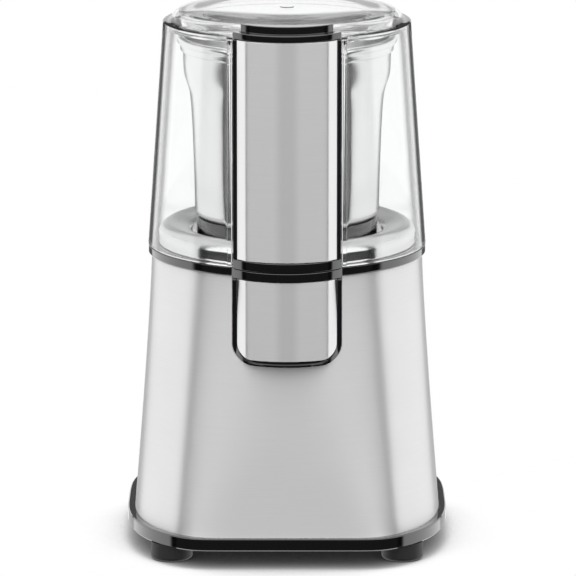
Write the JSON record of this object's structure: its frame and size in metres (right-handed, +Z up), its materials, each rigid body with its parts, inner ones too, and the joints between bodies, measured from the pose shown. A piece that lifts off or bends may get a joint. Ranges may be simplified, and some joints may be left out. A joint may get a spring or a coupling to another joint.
{
  "type": "electric spice grinder",
  "caption": "Electric spice grinder: lofted steel motor base, lift-out steel cup with a spinning blade, and a clear lid whose front pod carries a sprung push button.",
  "frame": {"origin": "on the table, midway between the feet and under the blade axis", "axes": "+Z up along the blade axis, -Y to the front where the button pod is, +X to the right seen from the front"},
  "size_m": [0.112, 0.1124, 0.1877],
  "materials": {
    "gloss_black": "polished moulding",
    "button_black": "polished moulding",
    "matte_black": "plain moulding",
    "foot_rubber": "soft matt rubber",
    "inlet_rubber": "soft matt rubber",
    "fastener_steel": "zinc plated",
    "brushed_shell": "fine brushed stainless steel",
    "brushed_panel": "fine brushed stainless steel",
    "polished_steel": "polished stainless steel",
    "ground_steel": "ground steel",
    "spring_steel": "drawn wire and strip",
    "natural_plastic": "unpigmented moulding",
    "bearing_bronze": "sintered bronze",
    "lamination_iron": "stacked electrical sheet",
    "copper_wire": "enamelled copper wire",
    "commutator_copper": "turned copper bars",
    "carbon": "pressed carbon",
    "clear_plastic": "clear moulding"
  },
  "bodies": {
    "base": {"base_plate": "gloss_black", "foot_front_left": "foot_rubber", "foot_front_right": "foot_rubber", "foot_rear_left": "foot_rubber", "foot_rear_right": "foot_rubber", "base_screws": "fastener_steel", "steel_shell": "brushed_shell", "motor_chassis": "matte_black", "top_collar": "gloss_black", "deck_dish": "polished_steel", "switch_pod": "gloss_black", "switch_panel": "brushed_panel", "cord_inlet": "inlet_rubber", "upper_bracket": "natural_plastic", "lower_bracket": "natural_plastic", "upper_bearing": "bearing_bronze", "lower_bearing": "bearing_bronze", "motor_mounts": "foot_rubber", "motor_bolts": "fastener_steel", "stator_core": "lamination_iron", "field_coils": "copper_wire", "brush_holders": "natural_plastic", "carbon_brushes": "carbon", "brush_springs": "spring_steel", "microswitch": "matte_black"},
    "rotor": {"motor_shaft": "ground_steel", "armature_core": "lamination_iron", "armature_windings": "copper_wire", "commutator": "commutator_copper", "cooling_fan": "matte_black", "driver": "matte_black"},
    "lever": {"switch_lever": "spring_steel"},
    "plunger": {"switch_plunger": "natural_plastic", "plunger_spring": "spring_steel"},
    "cup": {"grinding_cup": "polished_steel", "cup_base": "gloss_black", "cup_bush": "bearing_bronze"},
    "cutter": {"blade": "ground_steel", "blade_shaft": "ground_steel", "blade_nut": "ground_steel", "blade_socket": "matte_black"},
    "lid": {"lid_shell": "clear_plastic", "lid_pod": "gloss_black", "lid_panel": "brushed_panel", "button_bezel": "gloss_black"},
    "button": {"push_button": "button_black", "push_rod": "natural_plastic", "button_spring": "spring_steel"}
  },
  "joints": [
    {"name": "cup_lift", "type": "slide", "parent": "base", "child": "cup", "axis": [0, 0, 1], "range_m": [0, 0.03]},
    {"name": "lid_lift", "type": "slide", "parent": "cup", "child": "lid", "axis": [0, 0, 1], "range_m": [0, 0.085]},
    {"name": "button_press", "type": "slide", "parent": "lid", "child": "button", "axis": [0, 0, -1], "range_m": [0, 0.0024], "stiffness_N_per_m": 500, "springref_m": -0.003, "deforming": ["button_spring"]},
    {"name": "plunger_press", "type": "slide", "parent": "base", "child": "plunger", "axis": [0, 0, -1], "range_m": [0, 0.0024], "stiffness_N_per_m": 150, "springref_m": -0.002, "deforming": ["plunger_spring"]},
    {"name": "lever_turn", "type": "hinge", "parent": "base", "child": "lever", "pos_m": [0, -0.03447, 0.0835], "axis": [1, 0, 0], "range_deg": [0, 8.17]},
    {"name": "rotor_spin", "type": "hinge", "parent": "base", "child": "rotor", "pos_m": [0, 0, 0.06], "axis": [0, 0, 1], "continuous": true},
    {"name": "blade_spin", "type": "hinge", "parent": "cup", "child": "cutter", "pos_m": [0, 0, 0.12], "axis": [0, 0, 1], "continuous": true}
  ],
  "couplings": [
    {"joint": "plunger_press", "follows": "button_press", "ratio": 1},
    {"joint": "lever_turn", "follows": "button_press", "rad_per_m": 59.37},
    {"joint": "blade_spin", "follows": "rotor_spin", "ratio": 1}
  ]
}
